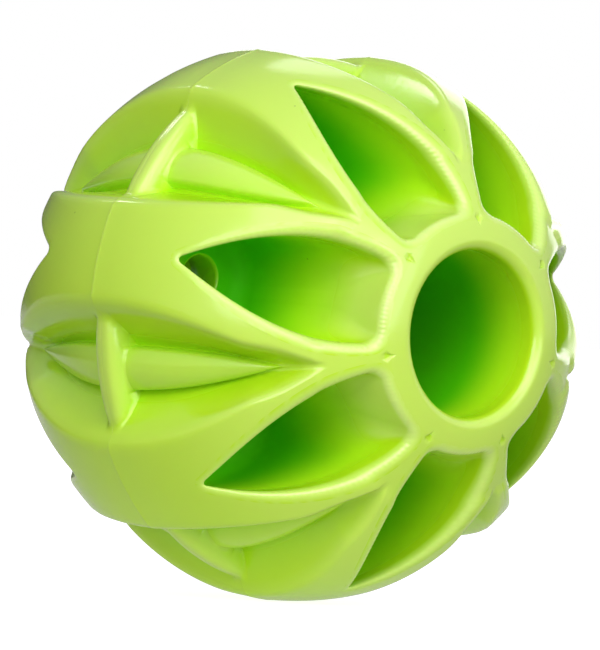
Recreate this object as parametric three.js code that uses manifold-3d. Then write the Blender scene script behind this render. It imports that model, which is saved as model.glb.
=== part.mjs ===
import * as THREE from "three";
import { LoftGeometry } from "three/addons/geometries/LoftGeometry.js";
import { mergeVertices } from "three/addons/utils/BufferGeometryUtils.js";
import Module from "manifold-3d";

// A chew ball of lime-green rubber: two identical half mouldings, bonded at the equator.
// Lengths are in millimetres and latitudes in degrees. The bore runs along Y, Z points up and the
// origin is the ball's centre. A half is modelled with its pole on +Y, and an angle round the bore
// is measured from +Z towards +X.

// The ball
const BALL_DIAMETER = 75;
const PETAL_COUNT = 7;
const BOND_LINE = 0.3; // glue line between the two halves

// The bore, and the ring round its mouth
const BORE_DIAMETER = 22.2;
const BORE_LIP_RADIUS = 0.8;
const RING_FACE_WIDTH = 2; // flat end face outside the rounded lip
const RING_WALL = 5; // rubber between the bore and the pockets

// The pockets: teardrops in plan, sunk straight along the bore, with the point outwards
const POCKET_WIDTH = 13.9;
const POCKET_SIDE_RADIUS = 16.6;
const POCKET_CORNER_RADIUS = 1.8; // where a side meets the ring
const POCKET_TIP_RADIUS = 0.6;
const POCKET_TIP_WALL = 2.7; // from the point to the ball's outside at the equator
const WEB_THICKNESS = 9.8; // between the floors of two opposite pockets
const LINK_HOLE_DIAMETER = 6.9; // hole through the web
const LINK_HOLE_FROM_TIP = 11.3;

// The tread recesses: eye-shaped hollows across the equator, between the pockets
const RECESS_WIDTH = 19;
const RECESS_DEPTH = 6.4;
const RECESS_END_LATITUDE = 54;

// The leaf ridge along each recess
const LEAF_WIDTH = 7.2;
const LEAF_HEIGHT = 2.5;
const LEAF_END_LATITUDE = 43;

// The crossbar over each leaf, along the equator
const BAR_DROP = 1.9; // from the ball's outside down to the bar's crest
const BAR_CREST_WIDTH = 2.8;
const BAR_BASE_WIDTH = 4.6;

// How the outlines of the recess and the leaf fall off from the equator to their ends
const RECESS_WIDTH_FALL = [2.4, 1.3];
const RECESS_DEPTH_FALL = [4.5, 1.15];
const RECESS_WALL_POWER = 1.25; // 1 is a straight wall, and more is a hollow one
const RECESS_WALL_REACH = 1.08; // the walls run on past the ball's outside, as a share of the half width
const LEAF_WIDTH_FALL = [2.4, 0.8];
const LEAF_HEIGHT_FALL = [2, 0.5];
const LEAF_CROWN = 0.65; // share of the height that the leaf loses towards its edges
const LOFT_REACH = 0.97; // last section, as a share of the way to the end

// How fine the facets are
const ROUND_STEPS = 56;
const MERIDIAN_STEPS = 8;
const LIP_STEPS = 3;
const POCKET_ARC_STEPS = 3;
const HOLE_STEPS = 16;
const RECESS_ROWS = 16;
const RECESS_COLUMNS = 8;
const LEAF_ROWS = 12;
const LEAF_COLUMNS = 4;

// How far a cutter runs past the surface that it cuts, and an added piece into the rubber
const OVERRUN = 2;

const ballRadius = BALL_DIAMETER / 2;
const seamHeight = BOND_LINE / 2;
const boreRadius = BORE_DIAMETER / 2;
const ringRadius = boreRadius + RING_WALL;
const ringFaceRadius = boreRadius + BORE_LIP_RADIUS + RING_FACE_WIDTH;
const ringFaceHeight = Math.sqrt(ballRadius ** 2 - ringFaceRadius ** 2);
const pocketTip = ballRadius - POCKET_TIP_WALL;
const barRadius = ballRadius - BAR_DROP;
const recessFloorRadius = ballRadius - RECESS_DEPTH;

const wasm = await Module();
wasm.setup();

// A closed three.js geometry as a solid that can be joined and cut.
function solid(geometry) {
  const bare = geometry.clone();
  bare.deleteAttribute("normal");
  bare.deleteAttribute("uv");
  const merged = mergeVertices(bare, 1e-4);
  const vertProperties = new Float32Array(merged.attributes.position.array);
  const triVerts = new Uint32Array(merged.index.array);
  return new wasm.Manifold(new wasm.Mesh({ numProp: 3, vertProperties, triVerts }));
}

// A solid as a three.js geometry.
function geometryOf(body) {
  const mesh = body.getMesh();
  const geometry = new THREE.BufferGeometry();
  geometry.setAttribute("position", new THREE.BufferAttribute(mesh.vertProperties, 3));
  geometry.setIndex(new THREE.BufferAttribute(mesh.triVerts, 1));
  geometry.computeVertexNormals();
  return geometry;
}

// One solid for each petal, turned round the bore, starting a share of a petal on from +Z.
function roundTheBore(geometry, start) {
  const pitch = (2 * Math.PI) / PETAL_COUNT;
  return Array.from({ length: PETAL_COUNT }, (_, petal) =>
    solid(geometry.clone().rotateY((petal + start) * pitch)));
}

// Points along an arc, from one angle to another, as the (radius, height) pairs of a profile.
function arcPoints(centreX, centreY, radius, from, to, steps) {
  const clockwise = to < from;
  return new THREE.EllipseCurve(centreX, centreY, radius, radius, from, to, clockwise).getPoints(steps);
}

// A ring turned from a closed profile.
function turned(profile) {
  return new THREE.LatheGeometry([...profile, profile[0]], ROUND_STEPS);
}

// Falls from 1 at the equator to 0 at the end, as (1 - t^a)^b.
function fall(share, [inner, outer]) {
  return Math.max(0, 1 - Math.abs(share) ** inner) ** outer;
}

// The crossing of two circles on the right of the line from the first centre to the second.
function circleCrossing(first, firstRadius, second, secondRadius) {
  const towards = second.clone().sub(first);
  const distance = towards.length();
  towards.divideScalar(distance);
  const along = (distance ** 2 + firstRadius ** 2 - secondRadius ** 2) / (2 * distance);
  const aside = Math.sqrt(firstRadius ** 2 - along ** 2);
  const right = new THREE.Vector2(towards.y, -towards.x);
  return first.clone().addScaledVector(towards, along).addScaledVector(right, aside);
}

// The solid of the half before its hollows: bore, rounded lip, flat ring face and the ball's outside.
function halfBlank() {
  const lipHeight = ringFaceHeight - BORE_LIP_RADIUS;
  const top = Math.asin(ringFaceHeight / ballRadius);
  const bottom = Math.asin(seamHeight / ballRadius);
  return turned([
    ...arcPoints(0, 0, ballRadius, bottom, top, MERIDIAN_STEPS),
    ...arcPoints(boreRadius + BORE_LIP_RADIUS, lipHeight, BORE_LIP_RADIUS, Math.PI / 2, Math.PI, LIP_STEPS),
    new THREE.Vector2(boreRadius, seamHeight),
  ]);
}

// The pocket's plan, with x across it and y out from the bore's axis. Two wide arcs meet in the
// rounded point, and two small ones join them to the ring.
function pocketPlan() {
  const ringCentre = new THREE.Vector2(0, 0);
  const sideInset = POCKET_SIDE_RADIUS - POCKET_WIDTH / 2;
  const tipCentre = pocketTip - POCKET_TIP_RADIUS;
  const sideReach = tipCentre - Math.sqrt((POCKET_SIDE_RADIUS - POCKET_TIP_RADIUS) ** 2 - sideInset ** 2);
  const sideCentre = new THREE.Vector2(-sideInset, sideReach);
  const corner = circleCrossing(
    ringCentre, ringRadius + POCKET_CORNER_RADIUS,
    sideCentre, POCKET_SIDE_RADIUS - POCKET_CORNER_RADIUS);
  const ringAngle = corner.angle();
  const sideAngle = corner.clone().sub(sideCentre).angle();
  const tipAngle = Math.atan2(tipCentre - sideReach, sideInset);
  const half = Math.PI;
  const plan = new THREE.Shape();
  plan.absarc(0, 0, ringRadius, half - ringAngle, ringAngle, true);
  plan.absarc(corner.x, corner.y, POCKET_CORNER_RADIUS, ringAngle + half, sideAngle, false);
  plan.absarc(-sideInset, sideReach, POCKET_SIDE_RADIUS, sideAngle, tipAngle, false);
  plan.absarc(0, tipCentre, POCKET_TIP_RADIUS, tipAngle, half - tipAngle, false);
  plan.absarc(sideInset, sideReach, POCKET_SIDE_RADIUS, half - tipAngle, half - sideAngle, false);
  plan.absarc(-corner.x, corner.y, POCKET_CORNER_RADIUS, half - sideAngle, -ringAngle, false);
  return plan;
}

// The hollow of one pocket, from its floor out past the ball.
function pocketCutter() {
  const floor = WEB_THICKNESS / 2;
  const top = ballRadius + OVERRUN;
  const options = { depth: top - floor, bevelEnabled: false, curveSegments: POCKET_ARC_STEPS };
  const cutter = new THREE.ExtrudeGeometry(pocketPlan(), options);
  return cutter.rotateX(Math.PI / 2).translate(0, top, 0);
}

// The hole that links a pocket with the one behind it.
function linkHoleCutter() {
  const radius = LINK_HOLE_DIAMETER / 2;
  const cutter = new THREE.CylinderGeometry(radius, radius, WEB_THICKNESS + OVERRUN, HOLE_STEPS);
  return cutter.translate(0, 0, pocketTip - LINK_HOLE_FROM_TIP);
}

// A point at a distance from the ball's centre, a latitude and an angle round the bore.
function ballPoint(distance, latitude, angle) {
  const fromPole = Math.PI / 2 - latitude;
  return new THREE.Vector3().setFromSphericalCoords(distance, fromPole, angle);
}

// Half the angle that the recess and the leaf take round the bore, and how deep the recess is there.
function recessAt(latitude) {
  const share = latitude / THREE.MathUtils.degToRad(RECESS_END_LATITUDE);
  const leafShare = latitude / THREE.MathUtils.degToRad(LEAF_END_LATITUDE);
  return {
    half: Math.asin(RECESS_WIDTH / 2 / ballRadius) * fall(share, RECESS_WIDTH_FALL),
    depth: RECESS_DEPTH * fall(share, RECESS_DEPTH_FALL),
    leafHalf: Math.asin(LEAF_WIDTH / 2 / ballRadius) * fall(leafShare, LEAF_WIDTH_FALL),
    leafHeight: LEAF_HEIGHT * fall(leafShare, LEAF_HEIGHT_FALL),
  };
}

// A closed body skinned over sections at steps of latitude, between two ends. A section is a lower
// and an upper line across it, each given as a distance from the ball's centre.
function skinned(endLatitude, reach, rows, columns, sectionAt) {
  const end = LOFT_REACH * THREE.MathUtils.degToRad(endLatitude);
  const across = Array.from({ length: columns + 1 }, (_, column) => reach * ((2 * column) / columns - 1));
  const sections = Array.from({ length: rows + 1 }, (_, row) => {
    const latitude = end * Math.sin(Math.PI * (row / rows - 0.5));
    const { half, lower, upper } = sectionAt(latitude);
    const below = across.map((share) => ballPoint(lower(share), latitude, share * half));
    const above = across.map((share) => ballPoint(upper(share), latitude, share * half));
    return [...above, ...below.reverse()];
  });
  return new THREE.BufferGeometry().copy(new LoftGeometry(sections, { capStart: true, capEnd: true }));
}

// The hollow of one recess: deepest beside the leaf, with its walls rising to the ball's outside.
function recessCutter() {
  return skinned(RECESS_END_LATITUDE, RECESS_WALL_REACH, RECESS_ROWS, RECESS_COLUMNS, (latitude) => {
    const { half, depth, leafHalf } = recessAt(latitude);
    const floorShare = leafHalf / half;
    const rise = (share) => Math.max(0, (Math.abs(share) - floorShare) / (1 - floorShare));
    return {
      half,
      lower: (share) => ballRadius - depth * (1 - rise(share) ** RECESS_WALL_POWER),
      upper: () => ballRadius + OVERRUN,
    };
  });
}

// The leaf ridge, rooted in the rubber under the recess.
function leafRidge() {
  return skinned(LEAF_END_LATITUDE, 1, LEAF_ROWS, LEAF_COLUMNS, (latitude) => {
    const { depth, leafHalf, leafHeight } = recessAt(latitude);
    const floor = ballRadius - depth;
    return {
      half: leafHalf,
      lower: () => floor - OVERRUN,
      upper: (share) => floor + leafHeight * (1 - LEAF_CROWN * share ** 2),
    };
  });
}

// The bars as one ring along the seam: it shows only where the recesses lay it bare.
function barRing() {
  return turned([
    new THREE.Vector2(recessFloorRadius - OVERRUN, seamHeight),
    new THREE.Vector2(barRadius, seamHeight),
    new THREE.Vector2(barRadius, BAR_CREST_WIDTH / 2),
    new THREE.Vector2(recessFloorRadius + LEAF_HEIGHT, BAR_BASE_WIDTH / 2),
    new THREE.Vector2(recessFloorRadius - OVERRUN, BAR_BASE_WIDTH / 2),
  ]);
}

// One half moulding, with its pole on +Y.
function halfMoulding() {
  const seamSide = new THREE.CylinderGeometry(BALL_DIAMETER, BALL_DIAMETER, BALL_DIAMETER, ROUND_STEPS);
  seamSide.translate(0, seamHeight - BALL_DIAMETER / 2, 0);
  let half = solid(halfBlank());
  roundTheBore(recessCutter(), 0).forEach((recess) => { half = half.subtract(recess); });
  half = half.add(solid(barRing()));
  roundTheBore(leafRidge(), 0).forEach((leaf) => { half = half.add(leaf); });
  roundTheBore(pocketCutter(), 0.5).forEach((pocket) => { half = half.subtract(pocket); });
  roundTheBore(linkHoleCutter(), 0.5).forEach((hole) => { half = half.subtract(hole); });
  return geometryOf(half.subtract(solid(seamSide)));
}

function rubber() {
  return new THREE.MeshStandardMaterial({ color: 0x8fd62a, roughness: 0.4, metalness: 0 });
}

const moulding = halfMoulding();

const rearHalf = new THREE.Mesh(moulding, rubber());
rearHalf.name = "rear_half";

const frontHalf = new THREE.Mesh(moulding, rubber());
frontHalf.name = "front_half";
frontHalf.rotation.z = Math.PI;

const ball = new THREE.Group();
ball.add(frontHalf, rearHalf);

export default ball;
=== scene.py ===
"""A lime-green rubber chew ball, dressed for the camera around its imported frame.

The ball is two identical half mouldings, bonded at the equator. Sizes are in millimetres until a mesh
is made, and a field that holds a latitude or a turn is in degrees. A half is worked out with its pole on
+Y, and an angle round the bore runs from +Z towards +X. One half petal, from the middle of a tread recess
to the middle of a pocket, is mirrored and turned round the bore to make the whole half.
"""

import logging
import math
from dataclasses import dataclass, field
from enum import Enum

import bmesh
import bpy
import numpy as np
from mathutils import Matrix


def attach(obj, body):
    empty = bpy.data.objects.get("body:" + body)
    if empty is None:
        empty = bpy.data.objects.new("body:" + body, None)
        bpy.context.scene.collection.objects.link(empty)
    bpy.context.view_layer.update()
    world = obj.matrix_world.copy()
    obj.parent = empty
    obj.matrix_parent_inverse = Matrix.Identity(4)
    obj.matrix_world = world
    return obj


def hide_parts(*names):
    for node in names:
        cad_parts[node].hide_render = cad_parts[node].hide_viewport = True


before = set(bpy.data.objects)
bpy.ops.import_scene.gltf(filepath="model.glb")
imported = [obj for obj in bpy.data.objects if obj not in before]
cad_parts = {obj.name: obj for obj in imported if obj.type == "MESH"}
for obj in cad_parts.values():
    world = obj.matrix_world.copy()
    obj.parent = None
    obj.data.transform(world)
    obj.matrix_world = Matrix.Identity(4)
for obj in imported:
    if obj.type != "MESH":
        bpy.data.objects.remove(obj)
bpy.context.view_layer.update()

Array = np.ndarray
Level = bpy.types.NodeSocket | float
LOG = logging.getLogger("chew_ball")
MM = 0.001
BALL_RADIUS = 37.5
# Points that are closer than this are one.
MERGE_MM = 0.001
# Least divisors, which keep a quotient finite.
LEAST_ANGLE = 1e-4
LEAST_SINE = 1e-3
WHITE = (1, 1, 1, 1)
# What the finish reads at each point, as attributes of the mesh: the depth that sets the painted shade and
# the dulling, the crest share of painted highlight, the run along the rim, and the rim share that sets a
# painted highlight and the ticks.
MARKS = ("painted_shade_depth_mm", "painted_crest_highlight_share", "rim_run_mm", "painted_rim_highlight_and_tick_share")
# The outputs of a Mix node that hold a number and a colour.
MIXED_NUMBER = 0
MIXED_COLOUR = 2


def linear(hex_colour: str) -> tuple[float, float, float, float]:
    """Turns an sRGB hex colour to linear, by the standard's curve.

    Args:
        hex_colour: six hex digits, such as "a0d81a".

    Returns:
        Linear red, green and blue, and an alpha of 1.
    """
    shares = [int(hex_colour[i:i + 2], 16) / 255 for i in (0, 2, 4)]
    red, green, blue = (s / 12.92 if s <= 0.04045 else ((s + 0.055) / 1.055) ** 2.4 for s in shares)
    return red, green, blue, 1.0


def smooth_max(first: Array, second: Array, width: float | Array) -> Array:
    """The larger of two values, with a fillet where they are closer than a width.

    The fillet adds a quarter of the width times the square of (1 - gap / width).

    Args:
        first: one value at each point.
        second: the other value at each point.
        width: gap under which the two blend.

    Returns:
        The blended maximum.
    """
    nearness = np.clip(1 - np.abs(first - second) / width, 0, None)
    return np.maximum(first, second) + width / 4 * nearness ** 2


def smooth_min(first: Array, second: Array, width: float) -> Array:
    """The smaller of two values, with the same fillet as smooth_max."""
    return -smooth_max(-first, -second, width)


def ease(share: Array) -> Array:
    """Rises from 0 to 1 as 3 t^2 - 2 t^3, and is level outside that range."""
    t = np.clip(share, 0, 1)
    return t * t * (3 - 2 * t)


def spread(count: int) -> Array:
    """Shares from 0 to 1 that crowd at both ends, as half of (1 - cos of the angle up to pi)."""
    return 0.5 - 0.5 * np.cos(np.linspace(0, math.pi, count + 1))


def fall(share: Array, inner: float, outer: float) -> Array:
    """Falls from 1 at the equator to 0 at the end, as (1 - t^inner)^outer."""
    return (1 - np.clip(np.abs(share), 0, 1) ** inner) ** outer


def ball_points(distance: Array, latitude: Array, angle: Array) -> Array:
    """Points at distances from the ball's centre, latitudes and angles round the bore."""
    across = distance * np.cos(latitude)
    return np.stack([across * np.sin(angle), distance * np.sin(latitude), across * np.cos(angle)], axis=-1)


def pose(axes: Array, place: Array) -> Matrix:
    """The matrix that has three axes as its columns, and a place."""
    return Matrix([*np.column_stack([axes, place]).tolist(), [0, 0, 0, 1]])


def add_node(tree: bpy.types.NodeTree, kind: str, settings: dict, inputs: dict) -> bpy.types.Node:
    """Adds a node with its settings, and links or sets its inputs.

    Args:
        tree: node tree that takes the node.
        kind: Blender's name for the kind of node.
        settings: properties of the node, by name.
        inputs: sockets to link or values to set, by the input's name or number.

    Returns:
        The new node.
    """
    node = tree.nodes.new(kind)
    for name, value in settings.items():
        setattr(node, name, value)
    for key, value in inputs.items():
        socket = node.inputs[key] if isinstance(key, int) else next(
            s for s in node.inputs if s.name == key and s.enabled)
        if isinstance(value, bpy.types.NodeSocket):
            tree.links.new(value, socket)
        else:
            socket.default_value = value
    return node


@dataclass
class Patch:
    """A grid of points with what the finish reads at each one.

    The first mark is how far it lies below the ball's outside, which sets the painted shade and the
    dulling; crest is how much it stands proud of what is round it, which sets a painted highlight; run is
    how far along the nearest pocket rim it is; and rim is how pale it is painted, as a painted highlight on
    a rim or a painted glow on a ring's wall, which also places the ticks.
    """

    points: Array
    shade_depth: Array
    crest: Array
    run: Array
    rim: Array

    @classmethod
    def plain(cls, points: Array, shade_depth: Array, crest: Array) -> "Patch":
        """A patch that is clear of the pocket rims."""
        return cls(points, np.maximum(shade_depth, 0), crest, np.zeros(shade_depth.shape), np.zeros(shade_depth.shape))


class End(Enum):
    """Which end of the ball a half is on, and how its mesh is turned to face that way."""

    FRONT = (-1.0, -1.0, 1.0)
    REAR = (1.0, 1.0, 1.0)


@dataclass(frozen=True)
class Ring:
    """The bore and the ring round its mouth."""

    bore_radius: float = 11.1
    lip_radius: float = 1.5
    face_width: float = 1.3
    wall: float = 5.0
    face_blend: float = 1.6
    lip_steps: int = 8
    bore_steps: int = 8

    @property
    def outer_radius(self) -> float:
        """Radius of the wall that the pockets meet."""
        return self.bore_radius + self.wall

    @property
    def lip_start(self) -> float:
        """Radius where the flat face turns into the lip."""
        return self.bore_radius + self.lip_radius

    def face_height(self, ball_radius: float) -> float:
        """Height of the flat face, where its outer edge meets the ball."""
        return math.sqrt(ball_radius ** 2 - (self.lip_start + self.face_width) ** 2)

    def bore(self, angles: Array, start_radius: float, start_height: float, seam: float) -> Array:
        """The lip and the bore's wall, as a profile carried round the axis.

        The lip is a quarter of an ellipse from the flat face to the wall, and the wall is straight.

        Args:
            angles: angles round the bore, one for each column.
            start_radius: radius where the lip starts.
            start_height: height where the lip starts.
            seam: height where the wall ends.

        Returns:
            A grid of points.
        """
        turn = np.linspace(0, math.pi / 2, self.lip_steps + 1)
        lip_height = start_height - self.lip_radius * (1 - np.cos(turn))
        lip_radius = start_radius - (start_radius - self.bore_radius) * np.sin(turn)
        wall_height = np.linspace(lip_height[-1], seam, self.bore_steps + 1)[1:]
        height = np.concatenate([lip_height, wall_height])[:, None]
        radius = np.concatenate([lip_radius, np.full(self.bore_steps, self.bore_radius)])[:, None]
        flat = np.ones_like(angles)
        return np.stack([radius * np.sin(angles), height * flat, radius * np.cos(angles)], axis=-1)


@dataclass(frozen=True)
class Tread:
    """The recess across the equator, its leaf ridge and the crossbar over the leaf.

    A taper holds the two powers by which a form falls from the equator to its end. The groove past the
    leaf is rounded from one share of the leaf's latitude, over a span of it.
    """

    recess_width: float = 19.0
    recess_depth: float = 6.4
    recess_end: float = 51.5
    recess_edge: float = 1.5
    recess_taper: tuple[float, float] = (2.4, 1.3)
    depth_taper: tuple[float, float] = (4.5, 1.15)
    wall_power: float = 1.25
    wall_run_on: float = 3.0
    groove_radius: float = 1.5
    groove_from: float = 0.8
    groove_span: float = 0.25
    leaf_width: float = 7.2
    leaf_height: float = 2.5
    leaf_end: float = 43.0
    leaf_taper: tuple[float, float] = (2.4, 0.8)
    height_taper: tuple[float, float] = (2.0, 0.5)
    leaf_side: float = 0.4
    leaf_side_power: float = 2.5
    leaf_crown: float = 0.45
    bar_drop: float = 1.9
    bar_width: float = 4.6
    bar_power: float = 3.2
    bar_taper: float = 0.35
    bar_taper_power: float = 3.0
    bar_fillet: float = 0.5
    bar_clear: float = 1.0

    def recess_half(self, latitude: Array, ball_radius: float) -> Array:
        """Half the angle that the recess takes round the bore."""
        share = latitude / math.radians(self.recess_end)
        return math.asin(self.recess_width / 2 / ball_radius) * fall(share, *self.recess_taper)

    def leaf_half(self, latitude: Array, ball_radius: float) -> Array:
        """Half the angle that the leaf takes round the bore."""
        share = latitude / math.radians(self.leaf_end)
        return math.asin(self.leaf_width / 2 / ball_radius) * fall(share, *self.leaf_taper)

    def ground(self, latitude: Array, angle: Array, ball_radius: float) -> tuple[Array, Array]:
        """Distance of the bare recess, without its leaf and bar, from the ball's centre.

        The wall rises from the floor beside the leaf as the share of the way out to a power. Past the
        leaf's tip the groove is rounded: the way out is the root of its square and a radius squared, less
        the radius.

        Args:
            latitude: latitude at each point.
            angle: angle from the middle of the recess at each point.
            ball_radius: radius of the ball.

        Returns:
            The distance of the floor, and of the wall, which runs on past the ball's outside.
        """
        leaf = self.leaf_half(latitude, ball_radius)
        half = self.recess_half(latitude, ball_radius)
        depth = self.recess_depth * fall(latitude / math.radians(self.recess_end), *self.depth_taper)
        leaf_share = np.abs(latitude) / math.radians(self.leaf_end)
        radius = ease((leaf_share - self.groove_from) / self.groove_span) * self.groove_radius / ball_radius
        away = np.clip(np.abs(angle) - leaf, 0, None)
        rise = (np.sqrt(away ** 2 + radius ** 2) - radius) / np.maximum(half - leaf, LEAST_ANGLE)
        floor = ball_radius - depth
        return floor, floor + depth * np.minimum(rise, self.wall_run_on) ** self.wall_power

    def surface(self, latitude: Array, angle: Array, ball_radius: float) -> Array:
        """Distance of the recess, the leaf and the bar from the ball's centre.

        The leaf stands on the floor with a top that is crowned by the square of the way across, and steep
        rounded sides. The bar's section is half a superellipse across the equator, narrower towards its
        ends, with a fillet at its foot. Where the bar has ended it lies clear under the floor.

        Args:
            latitude: latitude at each point.
            angle: angle from the middle of the recess at each point.
            ball_radius: radius of the ball.

        Returns:
            The distance at each point, which runs on past the ball's outside.
        """
        aside = np.abs(angle)
        leaf = self.leaf_half(latitude, ball_radius)
        floor, wall = self.ground(latitude, angle, ball_radius)
        inside = np.clip((leaf - aside) * ball_radius * np.cos(latitude) / self.leaf_side, 0, 1)
        side = 1 - (1 - inside) ** self.leaf_side_power
        crown = 1 - self.leaf_crown * np.clip(aside / np.maximum(leaf, LEAST_ANGLE), 0, 1) ** 2
        height = self.leaf_height * fall(latitude / math.radians(self.leaf_end), *self.height_taper)
        body = np.maximum(wall, floor + height * crown * side)
        crest = ball_radius - self.bar_drop
        foot = ball_radius - self.recess_depth
        along = np.clip(aside / self.recess_half(np.zeros(1), ball_radius), 0, 1)
        half_bar = self.bar_width / 2 * (1 - self.bar_taper * along ** self.bar_taper_power)
        out = np.clip(crest * np.sin(np.abs(latitude)) / half_bar, 0, 1)
        bar = crest - (crest - foot) * (1 - (1 - out ** self.bar_power) ** (1 / self.bar_power))
        bar = np.where(out < 1, bar, foot - self.bar_clear)
        return smooth_max(body, bar, self.bar_fillet)


@dataclass(frozen=True)
class Pocket:
    """A teardrop pocket sunk along the bore, with a rounded rim, a filleted floor and a hole in it."""

    width: float = 13.0
    side_radius: float = 16.6
    corner_radius: float = 1.8
    foot_corner_radius: float = 5.0
    corner_blend: float = 0.35
    tip_radius: float = 0.6
    tip_wall: float = 2.8
    rim_reach: float = 2.2
    ring_rim_reach: float = 1.0
    rim_rib_share: float = 0.8
    rim_drop_share: float = 1.3
    floor_height: float = 4.9
    floor_fillet: float = 2.4
    hole_radius: float = 3.0
    hole_from_tip: float = 11.2
    hole_round: float = 0.45
    least_radius: float = 0.12
    ring_steps: int = 8
    corner_steps: int = 10
    side_steps: int = 34
    tip_steps: int = 6
    rim_steps: int = 8
    wall_steps: int = 10
    wall_crowding: float = 1.4
    fillet_steps: int = 5
    floor_steps: int = 6
    hole_steps: int = 3

    def outline(
            self, ring_radius: float, ball_radius: float, inset: float,
            corner_radius: float) -> tuple[Array, Array]:
        """Half of the pocket's plan, from the middle of the ring to the tip, drawn in by an inset.

        Four arcs follow each other: along the ring, round the corner, along the side and round the tip. The
        corner's centre is where a circle round the axis crosses one round the side's centre.

        Args:
            ring_radius: radius of the ring that the pocket ends at.
            ball_radius: radius of the ball.
            inset: how far the plan is drawn in all round.
            corner_radius: radius of the corner between the ring and the side, before it is drawn in.

        Returns:
            Points as (across, out from the axis), and unit normals into the rubber.
        """
        tip_out = ball_radius - self.tip_wall - self.tip_radius
        aside = self.side_radius - self.width / 2
        reach = tip_out - math.sqrt((self.side_radius - self.tip_radius) ** 2 - aside ** 2)
        ring = ring_radius + inset
        side = self.side_radius - inset
        corner = max(corner_radius - inset, self.least_radius)
        tip = max(self.tip_radius - inset, self.least_radius)
        tip_centre = reach + math.sqrt((side - tip) ** 2 - aside ** 2)
        gap = math.hypot(aside, reach)
        along = (gap ** 2 + (ring + corner) ** 2 - (side - corner) ** 2) / (2 * gap)
        off = math.sqrt((ring + corner) ** 2 - along ** 2)
        corner_x = (-aside * along + reach * off) / gap
        corner_y = (reach * along + aside * off) / gap
        ring_angle = math.atan2(corner_y, corner_x)
        side_angle = math.atan2(corner_y - reach, corner_x + aside)
        tip_angle = math.atan2(tip_centre - reach, aside)
        arcs = (
            (0.0, 0.0, ring, math.pi / 2, ring_angle, self.ring_steps, -1),
            (corner_x, corner_y, corner, ring_angle - math.pi, side_angle, self.corner_steps, 1),
            (-aside, reach, side, side_angle, tip_angle, self.side_steps, 1),
            (0.0, tip_centre, tip, tip_angle, math.pi / 2, self.tip_steps, 1),
        )
        points = []
        normals = []
        for centre_x, centre_y, radius, start, end, steps, inward in arcs:
            angles = np.linspace(start, end, steps + 1)[1 if points else 0:]
            outward = np.stack([np.cos(angles), np.sin(angles)], axis=-1)
            points.append(np.array([centre_x, centre_y]) + radius * outward)
            normals.append(inward * outward)
        return np.concatenate(points), np.concatenate(normals)

    def cup(self, start: Array, edge: Array, reach: Array, lay: "PlanLayer") -> tuple[Array, Array]:
        """The rim, wall, floor and hole of half a pocket, row by row from the ball's outside.

        The rim is a quadratic curve from its start on the ball to the wall, drawn to the sharp edge. Down
        the wall the plan's corner grows to the radius that it has at the foot. The floor is ruled between
        the outline and the circle of the hole, and both its borders are rounded by a quarter of a circle.

        Args:
            start: points where the rim starts on the ball's outside.
            edge: points of the sharp edge that the rim rounds off.
            reach: how far out the rim starts at each of those points.
            lay: places a plan of the pocket at a height.

        Returns:
            A grid of points, and the share of each that belongs to the rim, which sets its painted
            highlight and its ticks.
        """
        share = np.linspace(0, 1, self.rim_steps + 1)[:, None, None]
        wall_top = edge - reach[:, None] * np.array([0, self.rim_drop_share, 0])
        rim = (1 - share) ** 2 * start + 2 * share * (1 - share) * edge + share ** 2 * wall_top
        foot_height = self.floor_height + self.floor_fillet
        rows = []
        for down in np.linspace(0, 1, self.wall_steps + 1)[1:] ** self.wall_crowding:
            widened = ease(np.array(down / self.corner_blend))
            corner = self.corner_radius + (self.foot_corner_radius - self.corner_radius) * float(widened)
            height = wall_top[:, 1] + (foot_height - wall_top[:, 1]) * down
            rows.append((lay.plan(0.0, corner), height))
        for turn in np.linspace(0, math.pi / 2, self.fillet_steps + 1)[1:]:
            plan = lay.plan(self.floor_fillet * (1 - math.cos(turn)), self.foot_corner_radius)
            rows.append((plan, foot_height - self.floor_fillet * math.sin(turn)))
        floor = lay.plan(self.floor_fillet, self.foot_corner_radius)
        centre = np.array([0.0, lay.ball_radius - self.tip_wall - self.hole_from_tip])
        away = floor - centre
        away = away / np.linalg.norm(away, axis=1, keepdims=True)
        brink = centre + away * (self.hole_radius + self.hole_round)
        for part in np.linspace(0, 1, self.floor_steps + 1)[1:]:
            rows.append((floor + (brink - floor) * part, self.floor_height))
        for turn in np.linspace(0, math.pi / 2, self.hole_steps + 1)[1:]:
            radius = self.hole_radius + self.hole_round * (1 - math.sin(turn))
            height = self.floor_height - self.hole_round * (1 - math.cos(turn))
            rows.append((centre + away * radius, height))
        hole = centre + away * self.hole_radius
        for height in np.linspace(self.floor_height - self.hole_round, lay.seam, self.hole_steps + 1)[1:]:
            rows.append((hole, height))
        grid = np.concatenate([rim, np.stack([lay.at(plan, height) for plan, height in rows])])
        in_rim = np.zeros(len(grid))
        in_rim[:self.rim_steps + 1] = np.sin(np.linspace(0, math.pi, self.rim_steps + 1))
        return grid, np.broadcast_to(in_rim[:, None], grid.shape[:2])


@dataclass(frozen=True)
class PlanLayer:
    """Places the plan of a pocket, whose middle lies half a petal round from +Z."""

    pocket: Pocket
    ring_radius: float
    ball_radius: float
    half_petal: float
    seam: float

    def plan(self, inset: float, corner_radius: float) -> Array:
        """The pocket's half plan, drawn in by an inset, with a radius at its corner."""
        return self.pocket.outline(self.ring_radius, self.ball_radius, inset, corner_radius)[0]

    def at(self, plan: Array, height: float | Array) -> Array:
        """Turns a plan to points at a height, half a petal round, with across towards the recess.

        Args:
            plan: points as (across, out from the axis).
            height: one height, or one for each point.

        Returns:
            The points.
        """
        sine, cosine = math.sin(self.half_petal), math.cos(self.half_petal)
        across, out = plan[..., 0], plan[..., 1]
        level = np.broadcast_to(np.asarray(height, dtype=float), across.shape)
        return np.stack([out * sine - across * cosine, level, out * cosine + across * sine], axis=-1)


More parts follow.
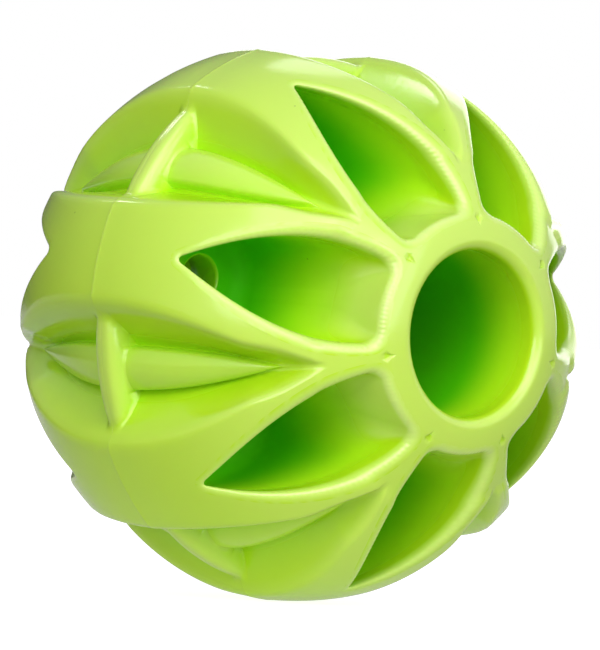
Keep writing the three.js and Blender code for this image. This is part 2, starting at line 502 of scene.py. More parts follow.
@dataclass(frozen=True)
class RimLine:
    """Where the rim of half a pocket starts on the ball, from the middle of the ring to the tip.

    plan is the sharp edge that the rim rounds off, and reach how far from it the rim starts. off_ring is
    0 on the ring's wall and 1 on the side, and run is the length along the plan.
    """

    plan: Array
    reach: Array
    latitude: Array
    angle: Array
    off_ring: Array
    run: Array


@dataclass(frozen=True)
class GateMark:
    """The shallow three-cornered dimple that the mould's feed leaves where each rib meets the ring."""

    out: float = 15.6
    size: float = 0.52
    edge: float = 0.28
    depth: float = 0.28
    third_cosine: float = -0.5
    third_sine: float = 0.866

    def dent(self, out: Array, across: Array) -> Array:
        """Depth of the dimple: the larger of the distances past a triangle's three sides, with a soft edge.

        One side faces out, and the cosine and the sine of a third of a turn give the other two.

        Args:
            out: distance from the axis at each point.
            across: distance from the middle of the rib at each point.

        Returns:
            The depth at each point.
        """
        along = out - self.out
        reach = np.maximum(along, self.third_cosine * along + self.third_sine * np.abs(across))
        return self.depth * ease((self.size - reach) / self.edge)


@dataclass(frozen=True)
class MouldedRubber:
    """Thermoplastic rubber, injection moulded in a satin steel mould.

    The eye sees an even lime green, broad soft highlights that break up on a faint orange peel, and fine
    cutter ticks left along the pocket rims. The colour also holds painted light: painted shade turns it
    deep green down the hollows, and painted highlights pale the crests, the rims and a ring's walls. The
    peel is drawn coarser than the grain of such a mould, because a finer one wouldn't show in the render.
    """

    name: str = "moulded_thermoplastic_rubber_lime"
    colour: str = "b8e01e"
    mottle_colour: str = "b1db18"
    mottle_mm: float = 14.0
    mottle_detail: float = 3.0
    mottle_grain: float = 0.5
    mottle_low: float = 0.3
    mottle_high: float = 0.7
    # Painted highlight: the paler colour of crests, and the paler colour that rims and a ring's walls take
    # by their share.
    painted_highlight_crest_colour: str = "c0e152"
    painted_highlight_rim_colour: str = "d2ec80"
    painted_rim_highlight_share: float = 0.7
    # Painted shade: greener, then deep green, as the depth below the outside grows.
    painted_shade_colour: str = "ace414"
    painted_shade_from_mm: float = 1.0
    painted_shade_to_mm: float = 9.0
    painted_deep_shade_colour: str = "58d004"
    painted_deep_shade_from_mm: float = 8.0
    painted_deep_shade_to_mm: float = 22.5
    speck_colour: str = "5f8f10"
    speck_mm: float = 6.0
    speck_core: float = 0.012
    speck_edge: float = 0.03
    speck_strength: float = 0.6
    roughness: float = 0.15
    roughness_spread: float = 0.03
    dull_from_mm: float = 3.0
    dull_to_mm: float = 9.0
    deep_roughness: float = 0.6
    specular: float = 0.5
    deep_specular: float = 0.12
    ior: float = 1.5
    scatter: float = 0.12
    scatter_radius_mm: float = 0.8
    scatter_shares: tuple[float, float, float] = (0.35, 1.0, 0.08)
    peel_mm: float = 1.1
    peel_detail: float = 2.0
    peel_grain: float = 0.55
    peel_strength: float = 1.0
    peel_height_mm: float = 0.012
    tick_mm: float = 0.62
    tick_from: float = 0.45
    tick_strength: float = 0.5
    tick_height_mm: float = 0.025

    def material(self) -> bpy.types.Material:
        """Builds the node material on Object coordinates and the marks of the piece.

        The colour is one layer mixed over the other: a mottled green, paler crests as a painted highlight,
        greener and then deep green as painted shade with depth, pale rims as a painted highlight, and
        specks.
        Gloss falls with depth. The bump is the peel, with a sine along the rim for the ticks.

        Returns:
            The material.
        """
        material = bpy.data.materials.new(self.name)
        material.use_nodes = True
        tree = material.node_tree
        shader = tree.nodes["Principled BSDF"]
        shader.inputs["IOR"].default_value = self.ior
        shader.inputs["Subsurface Weight"].default_value = self.scatter
        shader.inputs["Subsurface Radius"].default_value = self.scatter_shares
        shader.inputs["Subsurface Scale"].default_value = self.scatter_radius_mm * MM
        place = add_node(tree, "ShaderNodeTexCoord", {}, {}).outputs["Object"]
        shade_depth, crest, run, rim = (
            add_node(tree, "ShaderNodeAttribute", {"attribute_name": mark}, {}).outputs["Fac"]
            for mark in MARKS)
        mottle, peel = (
            add_node(tree, "ShaderNodeTexNoise", {}, {
                "Vector": place, "Scale": 1 / (size * MM),
                "Detail": detail, "Roughness": grain}).outputs["Fac"]
            for size, detail, grain in (
                (self.mottle_mm, self.mottle_detail, self.mottle_grain),
                (self.peel_mm, self.peel_detail, self.peel_grain)))
        speck = add_node(tree, "ShaderNodeTexVoronoi", {}, {
            "Vector": place, "Scale": 1 / (self.speck_mm * MM)}).outputs["Distance"]
        # Shares for the painted shade, the deeper painted shade, the dulling, the ticks and the specks.
        painted_shade, depth, dull, ticked, specked = (
            add_node(tree, "ShaderNodeMapRange", {"interpolation_type": "SMOOTHSTEP"}, {
                "Value": value, "From Min": start, "From Max": end,
                "To Min": first, "To Max": last}).outputs["Result"]
            for value, start, end, first, last in (
                (shade_depth, self.painted_shade_from_mm, self.painted_shade_to_mm, 0.0, 1.0),
                (shade_depth, self.painted_deep_shade_from_mm, self.painted_deep_shade_to_mm, 0.0, 1.0),
                (shade_depth, self.dull_from_mm, self.dull_to_mm, 0.0, 1.0),
                (rim, self.tick_from, 1.0, 0.0, 1.0),
                (speck, self.speck_core, self.speck_edge, self.speck_strength, 0.0)))
        # Painted highlight: rims and a ring's walls pale by their share.
        painted_rim_highlight = add_node(tree, "ShaderNodeMath", {"operation": "MULTIPLY"}, {0: rim, 1: self.painted_rim_highlight_share})
        # Layers: the mottle, the painted crest highlight, the painted shade, the deeper painted shade, the
        # painted rim highlight and the specks.
        colour = linear(self.mottle_colour)
        for share, layer in (
                (mottle, self.colour), (crest, self.painted_highlight_crest_colour), (painted_shade, self.painted_shade_colour),
                (depth, self.painted_deep_shade_colour), (painted_rim_highlight.outputs["Value"], self.painted_highlight_rim_colour),
                (specked, self.speck_colour)):
            colour = add_node(tree, "ShaderNodeMix", {"data_type": "RGBA"}, {
                "Factor": share, "A": colour, "B": linear(layer)}).outputs[MIXED_COLOUR]
        tree.links.new(colour, shader.inputs["Base Color"])
        gloss = add_node(tree, "ShaderNodeMapRange", {}, {
            "Value": mottle, "From Min": self.mottle_low, "From Max": self.mottle_high,
            "To Min": self.roughness - self.roughness_spread,
            "To Max": self.roughness + self.roughness_spread}).outputs["Result"]
        for socket, outside, deep in (
                ("Roughness", gloss, self.deep_roughness),
                ("Specular IOR Level", self.specular, self.deep_specular)):
            mixed = add_node(tree, "ShaderNodeMix", {"data_type": "FLOAT"}, {
                "Factor": dull, "A": outside, "B": deep})
            tree.links.new(mixed.outputs[MIXED_NUMBER], shader.inputs[socket])
        turns = add_node(tree, "ShaderNodeMath", {"operation": "MULTIPLY"}, {
            0: run, 1: 2 * math.pi / self.tick_mm})
        wave = add_node(tree, "ShaderNodeMath", {"operation": "SINE"}, {0: turns.outputs["Value"]})
        tick = add_node(tree, "ShaderNodeMath", {"operation": "MULTIPLY"}, {
            0: wave.outputs["Value"], 1: ticked})
        peel_bump = add_node(tree, "ShaderNodeBump", {}, {
            "Strength": self.peel_strength, "Distance": self.peel_height_mm * MM, "Height": peel})
        tick_bump = add_node(tree, "ShaderNodeBump", {}, {
            "Strength": self.tick_strength, "Distance": self.tick_height_mm * MM,
            "Height": tick.outputs["Value"], "Normal": peel_bump.outputs["Normal"]})
        tree.links.new(tick_bump.outputs["Normal"], shader.inputs["Normal"])
        return material


@dataclass(frozen=True)
class HalfMoulding:
    """One half of the ball: ring, pockets and treads on one skin, closed at the bond face.

    Painted shade by depth, painted glow through a ring's wall and the hole, and painted highlights on
    crests and rims are marks that the finish reads. Columns, rows and strips set out the grids.
    """

    ball_radius: float = BALL_RADIUS
    petals: int = 7
    bond_gap: float = 0.01
    draft: float = 4.0
    flash_width: float = 0.35
    flash_height: float = 0.035
    # Painted shade: the bore's depth counts this many times over, so it is painted darker sooner.
    bore_shade: float = 1.7
    # Painted light: the hole's depth counts for this share only, so it is painted paler as if lit through
    # from behind.
    hole_shade: float = 0.2
    ring_turn: float = 0.8
    # Painted glow: a ring's wall counts as this much shallower, takes this share of the pale rim colour,
    # and loses that over this depth, as if lit through from the bore.
    ring_wall_glow: float = 5.0
    ring_wall_painted_glow: float = 0.33
    ring_wall_depth: float = 12.0
    # Painted highlight: the land's least share, the heights over which the crest shares fall off
    # (crest_height also ends the flash), and the latitudes over which the land's share grows.
    land_painted_highlight: float = 0.4
    crest_height: float = 2.0
    cup_crest_height: float = 6.0
    crest_from: float = 12.0
    crest_to: float = 45.0
    ring: Ring = field(default_factory=Ring)
    tread: Tread = field(default_factory=Tread)
    pocket: Pocket = field(default_factory=Pocket)
    gate: GateMark = field(default_factory=GateMark)
    leaf_columns: int = 10
    leaf_strip: float = 0.08
    leaf_strip_blend: float = 0.02
    wall_columns: int = 13
    wall_strip: float = 0.30
    wall_strip_blend: float = 0.05
    land_columns: int = 12
    land_lean: float = 1.5
    even_rows: int = 4
    gather_rows: int = 10
    level_from: float = 5.8
    level_rows: int = 4
    bar_from: float = 4.6
    bar_rows: int = 17
    flash_rows: int = 4
    ring_rows: int = 10

    @property
    def half_petal(self) -> float:
        """Angle from the middle of a recess to the middle of a pocket."""
        return math.pi / self.petals

    @property
    def layer(self) -> PlanLayer:
        """Places plans of the pocket on this half."""
        return PlanLayer(
            self.pocket, self.ring.outer_radius, self.ball_radius, self.half_petal, self.bond_gap)

    def skin(self, latitude: Array, angle: Array) -> Array:
        """Distance of the outer skin from the ball's centre.

        The ball is drafted into a cone next to the seam, with a fine line of flash on it. The tread is let
        into the ball and the flat ring face cuts it off, both with rounded edges, and the gate marks
        dent it.

        Args:
            latitude: latitude at each point.
            angle: angle from the middle of the recess at each point.

        Returns:
            The distance at each point.
        """
        lean = np.clip(math.radians(self.draft) - np.abs(latitude), 0, None)
        ball = self.ball_radius / np.cos(lean)
        tread = self.tread.surface(latitude, angle, self.ball_radius)
        outside = smooth_min(tread, ball, self.tread.recess_edge)
        face = self.ring.face_height(self.ball_radius) / np.maximum(np.sin(latitude), LEAST_SINE)
        outside = smooth_min(outside, face, self.ring.face_blend)
        out = self.ball_radius * np.cos(latitude)
        dent = self.gate.dent(out, out * angle)
        return outside + self.flash_height * self.on_flash(outside, latitude) - dent

    def on_flash(self, distance: Array, latitude: Array) -> Array:
        """Share of the flash on the seam at each point, which fades out below the ball's outside."""
        from_seam = distance * np.sin(np.abs(latitude)) / self.flash_width
        return (1 - ease(from_seam)) * (1 - ease((self.ball_radius - distance) / self.crest_height))

    def crest(self, latitude: Array, angle: Array) -> Array:
        """How much the skin stands proud, which sets how much painted highlight the finish lays on it.

        The leaf and the bar count by their height, and the land by nearness to the ring. A gate mark takes
        away as much as it is deep.

        Args:
            latitude: latitude at each point.
            angle: angle from the middle of the recess at each point.

        Returns:
            A share from 0 to 1 at each point.
        """
        surface = self.skin(latitude, angle)
        wall = self.tread.ground(latitude, angle, self.ball_radius)[1]
        raised = ease((surface - wall) / self.crest_height)
        # The land's painted highlight grows towards the ring.
        span = math.radians(self.crest_to - self.crest_from)
        near = ease((latitude - math.radians(self.crest_from)) / span)
        land = self.land_painted_highlight + (1 - self.land_painted_highlight) * near
        proud = np.maximum(raised, land * (1 - ease((self.ball_radius - surface) / self.crest_height)))
        out = self.ball_radius * np.cos(latitude)
        return proud * (1 - self.gate.dent(out, out * angle) / self.gate.depth)

    def skin_points(self, latitude: Array, angle: Array) -> Array:
        """Points of the outer skin."""
        return ball_points(self.skin(latitude, angle), latitude, angle)

    def rim_line(self) -> RimLine:
        """Sets the pocket's plan out along the ball by the reach of its rim.

        The reach is short on the ring's wall and full on the side, and takes only a share of half the rib.
        Seen along the bore it is divided by the root of 1 and the square of the ball's slope.

        Returns:
            The line, with a point for each point of the plan.
        """
        pocket = self.pocket
        plan, normal = pocket.outline(
            self.ring.outer_radius, self.ball_radius, 0.0, pocket.corner_radius)
        out = np.linalg.norm(plan, axis=1)
        outward = (normal * plan).sum(axis=1)
        off_ring = ease((outward / out + 1) / self.ring_turn)
        wide = pocket.ring_rim_reach + (pocket.rim_reach - pocket.ring_rim_reach) * off_ring
        half_rib = self.layer.at(plan, 0.0)[:, 0]
        reach = smooth_min(wide, pocket.rim_rib_share * half_rib, pocket.rim_reach / 2)
        slope = outward / np.sqrt(self.ball_radius ** 2 - out ** 2)
        start = self.layer.at(plan + normal * (reach / np.sqrt(1 + slope ** 2))[:, None], 0.0)
        latitude = np.arccos(np.hypot(start[:, 0], start[:, 2]) / self.ball_radius)
        angle = np.arctan2(start[:, 0], start[:, 2])
        run = np.concatenate([[0], np.cumsum(np.linalg.norm(np.diff(plan, axis=0), axis=1))])
        return RimLine(plan, reach, latitude, angle, off_ring, run)

    def seam_rows(self) -> Array:
        """Latitudes of the rows that are level across the petal, closer on the bar and on the flash.

        Returns:
            The latitudes, in degrees, down to the bond face.
        """
        bond = math.degrees(self.bond_gap / self.ball_radius)
        flash = math.degrees(self.flash_width / self.ball_radius)
        return np.concatenate([
            np.linspace(start, end, rows + 1)[1:] for start, end, rows in (
                (self.level_from, self.bar_from, self.level_rows),
                (self.bar_from, flash, self.bar_rows),
                (flash, bond, self.flash_rows))])

    def skin_grid(self, rim: RimLine) -> tuple[Array, Array]:
        """Sets out the outer skin, from the corner of the pocket's rim down to the bond face.

        A row is level across the recess and leans over the land to its point on the rim, as the way over
        the land to a power. In the recess, rows near the tip of the pocket go on in even steps. Columns
        keep to the leaf's edge and the recess's edge, and to fixed shares of the strip where these have
        ended.

        Args:
            rim: where the rim of the pocket starts.

        Returns:
            The latitudes and the angles of the grid.
        """
        pocket = self.pocket
        side = rim.latitude[pocket.ring_steps:]
        even_from = pocket.corner_steps + pocket.side_steps - self.even_rows
        past = np.arange(len(side)) - even_from
        step = side[even_from - 1] - side[even_from]
        middle = np.where(past < 0, side, side[even_from] - step * past)
        level = math.radians(self.level_from)
        down = np.linspace(0, 1, self.gather_rows + 1)[1:]
        lower = np.radians(self.seam_rows())
        row_middle, row_side = (
            np.concatenate([upper, upper[-1] + (level - upper[-1]) * down, lower])
            for upper in (middle, side))
        below = len(row_side) - len(side)
        row_angle = np.concatenate([rim.angle[pocket.ring_steps:], np.full(below, self.half_petal)])
        leaf = smooth_max(
            self.tread.leaf_half(row_middle, self.ball_radius),
            self.leaf_strip * row_angle, self.leaf_strip_blend * row_angle)
        edge = smooth_max(
            self.tread.recess_half(row_middle, self.ball_radius),
            self.wall_strip * row_angle, self.wall_strip_blend * row_angle)
        on_leaf = np.sin(np.linspace(0, math.pi / 2, self.leaf_columns + 1))
        on_wall = spread(self.wall_columns)[1:]
        on_land = spread(self.land_columns)[1:]
        angle = np.concatenate([
            leaf[:, None] * on_leaf,
            leaf[:, None] + (edge - leaf)[:, None] * on_wall,
            edge[:, None] + (row_angle - edge)[:, None] * on_land], axis=1)
        lean = np.concatenate([np.zeros(len(on_leaf) + len(on_wall)), on_land ** self.land_lean])
        return row_middle[:, None] + (row_side - row_middle)[:, None] * lean, angle

    def ring_patch(self, outer_latitude: Array, angle: Array) -> Patch:
        """The face of the ring, from its lip out to the skin and the rim of the pocket, with the full
        painted highlight and no painted shade.

        Rows crowd at the outside, by the sine of an even angle.

        Args:
            outer_latitude: latitudes of the outer border.
            angle: angles of the outer border, which the columns keep.

        Returns:
            The patch, with its first row on the lip.
        """
        inner_latitude = math.atan2(self.ring.face_height(self.ball_radius), self.ring.lip_start)
        share = np.sin(np.linspace(0, math.pi / 2, self.ring_rows + 1))[:, None]
        latitude = inner_latitude + (outer_latitude - inner_latitude) * share
        points = self.skin_points(latitude, np.broadcast_to(angle, latitude.shape))
        return Patch.plain(points, np.zeros(latitude.shape), np.ones(latitude.shape))

    def bore_patch(self, start: Array, angle: Array) -> Patch:
        """The lip and the bore, painted darker with the way down from the ring's face as painted shade,
        with a painted highlight at the lip.

        Args:
            start: a point of the ring's inner border, where the lip starts.
            angle: angles of the columns.

        Returns:
            The patch.
        """
        points = self.ring.bore(angle, math.hypot(start[0], start[2]), start[1], self.bond_gap)
        # Painted shade darkens the bore faster than its depth, and the lip takes a painted highlight.
        shade_depth = (start[1] - points[..., 1]) * self.bore_shade
        return Patch.plain(points, shade_depth, 1 - ease(shade_depth / self.crest_height))

    def cup_patch(self, rim: RimLine) -> Patch:
        """The inside of the pocket, whose colour is painted darker with the way down from its sharp edge,
        as painted shade.

        The ring's wall counts as less deep and is painted a little pale, as a painted glow of light coming
        through it from the bore, and so is the hole, painted as if lit through from behind. The ring side
        also takes a painted highlight.

        Args:
            rim: where the rim of the pocket starts.

        Returns:
            The patch.
        """
        flat_edge = self.layer.at(rim.plan, 0.0)
        edge_angle = np.arctan2(flat_edge[:, 0], flat_edge[:, 2])
        edge_latitude = np.arccos(np.linalg.norm(rim.plan, axis=1) / self.ball_radius)
        edge_height = self.skin(edge_latitude, edge_angle) * np.sin(edge_latitude)
        points, in_rim = self.pocket.cup(
            self.skin_points(rim.latitude, rim.angle), self.layer.at(rim.plan, edge_height),
            rim.reach, self.layer)
        on_ring = 1 - rim.off_ring
        # Painted shade by the depth below the sharp edge; the ring's wall counts as shallower and is
        # painted pale near the rim, as a painted glow.
        shade_depth = np.maximum(edge_height - points[..., 1] - self.ring_wall_glow * on_ring, 0)
        painted_glow_on_ring_wall = on_ring ** 2 * (1 - ease(shade_depth / self.ring_wall_depth))
        in_rim = np.maximum(in_rim, self.ring_wall_painted_glow * painted_glow_on_ring_wall)
        # The hole is painted paler, as if lit through from behind.
        hole_rows = 2 * self.pocket.hole_steps
        shade_depth[-hole_rows:] *= self.hole_shade
        # The ring side takes a painted highlight, less with depth.
        crest = on_ring * (1 - ease(shade_depth / self.cup_crest_height))
        return Patch(points, shade_depth, crest, np.broadcast_to(rim.run, in_rim.shape), in_rim)

    def patches(self) -> list[Patch]:
        """The four grids of half a petal: outer skin, ring face, bore and pocket.

        Returns:
            The patches, which share their borders point for point.
        """
        on_ring = self.pocket.ring_steps
        rim = self.rim_line()
        latitude, angle = self.skin_grid(rim)
        # The skin's depth sets its painted shade, and its crest share its painted highlight.
        skin = Patch.plain(
            self.skin_points(latitude, angle), self.ball_radius - self.skin(latitude, angle),
            self.crest(latitude, angle))
        skin.run[:len(rim.run) - on_ring, -1] = rim.run[on_ring:]
        outer_latitude = np.concatenate([latitude[0], rim.latitude[:on_ring][::-1]])
        outer_angle = np.concatenate([angle[0], rim.angle[:on_ring][::-1]])
        ring = self.ring_patch(outer_latitude, outer_angle)
        ring.run[-1, -on_ring:] = rim.run[:on_ring][::-1]
        return [skin, ring, self.bore_patch(ring.points[0, 0], outer_angle), self.cup_patch(rim)]

    def build(self, name: str, end: End) -> bpy.types.Object:
        """Makes the mesh of the half, in metres, with the marks that its finish reads.

        Args:
            name: name of the piece.
            end: end of the ball that it makes.

        Returns:
            The object, at the origin.
        """
        points, faces = [], []
        marks: dict[str, list[Array]] = {label: [] for label in MARKS}
        offset = 0
        for patch in self.patches():
            rows, columns = patch.points.shape[:2]
            corner = np.arange((rows - 1) * columns).reshape(rows - 1, columns)[:, :-1].ravel()
            quads = np.stack([corner, corner + 1, corner + columns + 1, corner + columns], axis=-1)
            for mirror in (1.0, -1.0):
                for petal in range(self.petals):
                    turn = 2 * self.half_petal * petal
                    x, y, z = np.moveaxis(patch.points * np.array([mirror, 1, 1]), -1, 0)
                    turned = np.stack([
                        x * math.cos(turn) + z * math.sin(turn), y,
                        z * math.cos(turn) - x * math.sin(turn)], axis=-1)
                    points.append(turned.reshape(-1, 3))
                    faces.append(quads + offset)
                    for label, mark in zip(MARKS, (patch.shade_depth, patch.crest, patch.run, patch.rim)):
                        marks[label].append(mark.ravel())
                    offset += rows * columns
        mesh = bpy.data.meshes.new(name)
        mesh.from_pydata(np.concatenate(points) * np.array(end.value) * MM, [], np.concatenate(faces))
        for label, values in marks.items():
            layer = mesh.attributes.new(label, "FLOAT", "POINT")
            layer.data.foreach_set("value", np.concatenate(values).astype(np.float32))
        self.close(mesh)
        mesh.polygons.foreach_set("use_smooth", np.ones(len(mesh.polygons), dtype=bool))
        piece = bpy.data.objects.new(name, mesh)
        bpy.context.scene.collection.objects.link(piece)
        return piece

    def close(self, mesh: bpy.types.Mesh) -> None:
        """Joins the patches along their borders, fills the bond face and points every face outwards.

        Args:
            mesh: mesh of the patches, which is changed.
        """
        work = bmesh.new()
        work.from_mesh(mesh)
        bmesh.ops.remove_doubles(work, verts=work.verts, dist=MERGE_MM * MM)
        border = [edge for edge in work.edges if edge.is_boundary]
        bmesh.ops.triangle_fill(work, use_beauty=True, use_dissolve=False, edges=border)
        bmesh.ops.recalc_face_normals(work, faces=work.faces)
        work.to_mesh(mesh)
        work.free()

    def dress(self, piece: bpy.types.Object, finish: bpy.types.Material, node: str) -> None:
        """Gives the piece its finish and sets it in the frame in place of its node.

        Args:
            piece: the half moulding.
            finish: material that it takes.
            node: CAD node that it stands for.
        """
        piece.data.materials.append(finish)
        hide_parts(node)
        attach(piece, "root")


@dataclass(frozen=True)
class Camera:
    """The camera, fitted to the ring, the pockets and the outline of the ball in the photograph.

    The ball's radius and centre in the image are in pixels, and the distance is in radii of the ball.
    """

    image_width: int = 600
    image_height: int = 650
    ball_radius: float = BALL_RADIUS
    ball_pixels: float = 279.32
    centre_x: float = 299.62
    centre_y: float = 321.64
    distance: float = 40.0
    bore_aside: float = 42.63
    bore_lift: float = -4.17
    turn: float = 91.15
    sensor: float = 36.0
    nearest: float = 0.01
    furthest: float = 10.0

    def build(self) -> None:
        """Makes the camera and sets it as the scene's.

        The bore points aside from the camera by one angle and up by another, and the ball is turned round
        it. The focal length, in pixels, is the outline's radius times the root of the distance squared
        less 1, and the place follows from the outline's centre.
        """
        aside, lift, turn = map(math.radians, (self.bore_aside, self.bore_lift, self.turn))
        across = np.array([math.cos(lift), math.sin(lift), 0.0])
        towards = np.array([0.0, 0.0, 1.0])
        pole = math.sin(aside) * across + math.cos(aside) * towards
        right = math.cos(aside) * across - math.sin(aside) * towards
        up = np.cross(pole, right)
        z_axis = math.cos(turn) * right + math.sin(turn) * up
        x_axis = math.sin(turn) * right - math.cos(turn) * up
        turned = np.stack([x_axis, -pole, z_axis])
        focal = self.ball_pixels * math.sqrt(self.distance ** 2 - 1)
        pixel = self.distance / focal
        back = np.array([
            (self.image_width / 2 - self.centre_x) * pixel,
            (self.centre_y - self.image_height / 2) * pixel, self.distance])
        data = bpy.data.cameras.new("camera")
        data.sensor_fit = "HORIZONTAL"
        data.sensor_width = self.sensor
        data.lens = focal * self.sensor / self.image_width
        data.clip_start = self.nearest
        data.clip_end = self.furthest
        camera = bpy.data.objects.new("camera", data)
        camera.matrix_world = pose(turned, turned @ back * self.ball_radius * MM)
        bpy.context.scene.collection.objects.link(camera)
        bpy.context.scene.camera = camera


@dataclass(frozen=True)
class Lamp:
    """A soft box: where it stands, in metres, how wide it is and how strong, in watts."""

    name: str
    place: tuple[float, float, float]
    width: float
    power: float

    def build(self) -> None:
        """Makes the lamp, turned to the ball and level from side to side."""
        data = bpy.data.lights.new(self.name, "AREA")
        data.shape = "DISK"
        data.size = self.width
        data.energy = self.power
        lamp = bpy.data.objects.new(self.name, data)
        lamp.visible_camera = False
        away = np.array(self.place) / np.linalg.norm(self.place)
        right = np.cross(np.array([0.0, 0.0, 1.0]), away)
        right = right / np.linalg.norm(right)
        up = np.cross(away, right)
        lamp.matrix_world = pose(np.stack([right, up, away], axis=-1), np.array(self.place))
        bpy.context.scene.collection.objects.link(lamp)


@dataclass(frozen=True)
class Glow:
    """A broad glow of the surround: the side that it is on, and its levels.

    edge is the cosine of the angle from that side at which the glow has fallen to its dim level.
    """

    side: tuple[float, float, float]
    edge: float
    dim: float
    bright: float


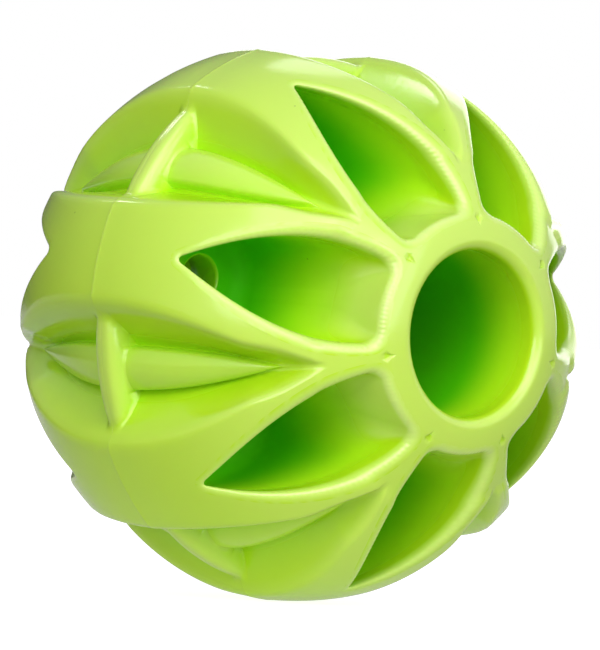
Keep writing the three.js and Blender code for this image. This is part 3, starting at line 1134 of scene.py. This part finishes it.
@dataclass(frozen=True)
class Studio:
    """White table, white surround and seven soft boxes. The table's sizes are in metres."""

    floor_radius: float = 2.5
    floor_height: float = -0.0375
    floor_spokes: int = 96
    floor_rings: int = 12
    floor_crowding: int = 2
    floor_colour: str = "909090"
    floor_roughness: float = 0.9
    floor_glow: float = 0.88
    floor_far_glow: float = 1.0
    floor_near: float = 0.15
    floor_far: float = 0.6
    floor_gloss: float = 0.35
    floor_bounce: float = 0.6
    floor_far_bounce: float = 0.05
    bounce_near: float = 0.03
    bounce_far: float = 0.1
    surround_white: float = 1.0
    surround_gloss: Glow = Glow((-0.27, -0.78, 0.57), -1.0, 0.04, 2.4)
    surround_fill: Glow = Glow((0.86, 0.46, 0.22), 0.0, 0.0, 0.25)
    lamps: tuple[Lamp, ...] = (
        Lamp("key_box", (-0.37, -0.82, 0.46), 0.7, 3.3),
        Lamp("top_box", (-0.45, -0.47, 0.75), 0.7, 3.25),
        Lamp("right_box", (0.02, -0.96, 0.30), 0.7, 2.8),
        Lamp("left_box", (-0.84, -0.42, 0.32), 0.7, 4.1),
        Lamp("back_box", (0.45, 0.47, 0.75), 0.3, 0.45),
        Lamp("back_left_box", (-0.02, 0.70, 0.68), 0.16, 0.5),
        Lamp("rear_box", (0.84, 0.51, 0.21), 0.7, 2.2),
    )

    @staticmethod
    def by_ray(
            tree: bpy.types.NodeTree, camera: Level, gloss: Level,
            rest: Level) -> bpy.types.NodeSocket:
        """Picks a strength by the kind of ray.

        Args:
            tree: node tree that takes the nodes.
            camera: strength on camera rays.
            gloss: strength on glossy and transmission rays.
            rest: strength on all other rays.

        Returns:
            The socket that holds the strength.
        """
        path = add_node(tree, "ShaderNodeLightPath", {}, {})
        shown = add_node(tree, "ShaderNodeMath", {"operation": "MAXIMUM"}, {
            0: path.outputs["Is Glossy Ray"], 1: path.outputs["Is Transmission Ray"]})
        level = rest
        for share, strength in (
                (shown.outputs["Value"], gloss), (path.outputs["Is Camera Ray"], camera)):
            level = add_node(tree, "ShaderNodeMix", {"data_type": "FLOAT"}, {
                "Factor": share, "A": level, "B": strength}).outputs[MIXED_NUMBER]
        return level

    def build(self) -> None:
        """Makes the table, the surround and the lamps."""
        self.build_floor()
        self.build_surround()
        for lamp in self.lamps:
            lamp.build()

    def build_floor(self) -> None:
        """Makes the table as a disc of rings round a middle point, with rings crowded at the middle."""
        count = self.floor_spokes
        angles = np.linspace(0, 2 * math.pi, count + 1)[:-1]
        radii = self.floor_radius * np.linspace(0, 1, self.floor_rings + 1)[1:] ** self.floor_crowding
        grid = np.stack([
            radii[:, None] * np.cos(angles), radii[:, None] * np.sin(angles),
            np.full((self.floor_rings, count), self.floor_height)], axis=-1)
        points = np.concatenate([grid.reshape(-1, 3), [[0, 0, self.floor_height]]])
        inner = np.arange((self.floor_rings - 1) * count)
        after = inner - inner % count + (inner + 1) % count
        quads = np.stack([inner, inner + count, after + count, after], axis=-1).tolist()
        spokes = np.arange(count)
        middle = np.full(count, len(points) - 1)
        cap = np.stack([middle, spokes, (spokes + 1) % count], axis=-1).tolist()
        mesh = bpy.data.meshes.new("table")
        mesh.from_pydata(points, [], quads + cap)
        mesh.materials.append(self.card())
        floor = bpy.data.objects.new("table", mesh)
        bpy.context.scene.collection.objects.link(floor)

    def card(self) -> bpy.types.Material:
        """Builds the table's finish: matt card that is seen as white and keeps the ball's shadow.

        It glows by the distance from the ball, at one level where it is seen and at another as light.

        Returns:
            The material.
        """
        material = bpy.data.materials.new("matt_white_card")
        material.use_nodes = True
        tree = material.node_tree
        shader = tree.nodes["Principled BSDF"]
        shader.inputs["Base Color"].default_value = linear(self.floor_colour)
        shader.inputs["Roughness"].default_value = self.floor_roughness
        shader.inputs["Emission Color"].default_value = WHITE
        away = add_node(tree, "ShaderNodeVectorMath", {"operation": "LENGTH"}, {
            0: add_node(tree, "ShaderNodeTexCoord", {}, {}).outputs["Object"]})
        seen, bounce = (
            add_node(tree, "ShaderNodeMapRange", {"interpolation_type": "SMOOTHSTEP"}, {
                "Value": away.outputs["Value"], "From Min": near, "From Max": far,
                "To Min": here, "To Max": there}).outputs["Result"]
            for near, far, here, there in (
                (self.floor_near, self.floor_far, self.floor_glow, self.floor_far_glow),
                (self.bounce_near, self.bounce_far, self.floor_bounce, self.floor_far_bounce)))
        glow = self.by_ray(tree, seen, self.floor_gloss, bounce)
        tree.links.new(glow, shader.inputs["Emission Strength"])
        return material

    def build_surround(self) -> None:
        """Makes the world white where it is seen, with one glow for gloss and one as fill light."""
        world = bpy.data.worlds.new("surround")
        bpy.context.scene.world = world
        world.use_nodes = True
        tree = world.node_tree
        direction = add_node(tree, "ShaderNodeTexCoord", {}, {}).outputs["Generated"]
        levels = []
        for glow in (self.surround_gloss, self.surround_fill):
            towards = add_node(tree, "ShaderNodeVectorMath", {"operation": "DOT_PRODUCT"}, {
                0: direction, 1: glow.side})
            level = add_node(tree, "ShaderNodeMapRange", {"interpolation_type": "SMOOTHSTEP"}, {
                "Value": towards.outputs["Value"], "From Min": glow.edge, "From Max": 1.0,
                "To Min": glow.dim, "To Max": glow.bright})
            levels.append(level.outputs["Result"])
        strength = self.by_ray(tree, self.surround_white, *levels)
        background = tree.nodes["Background"]
        background.inputs["Color"].default_value = WHITE
        tree.links.new(strength, background.inputs["Strength"])


def main() -> None:
    """Builds the ball, the studio and the camera."""
    logging.basicConfig(level=logging.INFO, format="%(message)s")
    bpy.context.scene.view_settings.view_transform = "Standard"
    finish = MouldedRubber().material()
    moulding = HalfMoulding()
    for node, end in (("front_half", End.FRONT), ("rear_half", End.REAR)):
        piece = moulding.build(f"{node}_moulding", end)
        moulding.dress(piece, finish, node)
        LOG.info("%s: %d points, %d faces", piece.name, len(piece.data.vertices), len(piece.data.polygons))
    Camera().build()
    Studio().build()


if __name__ == "__main__":
    main()
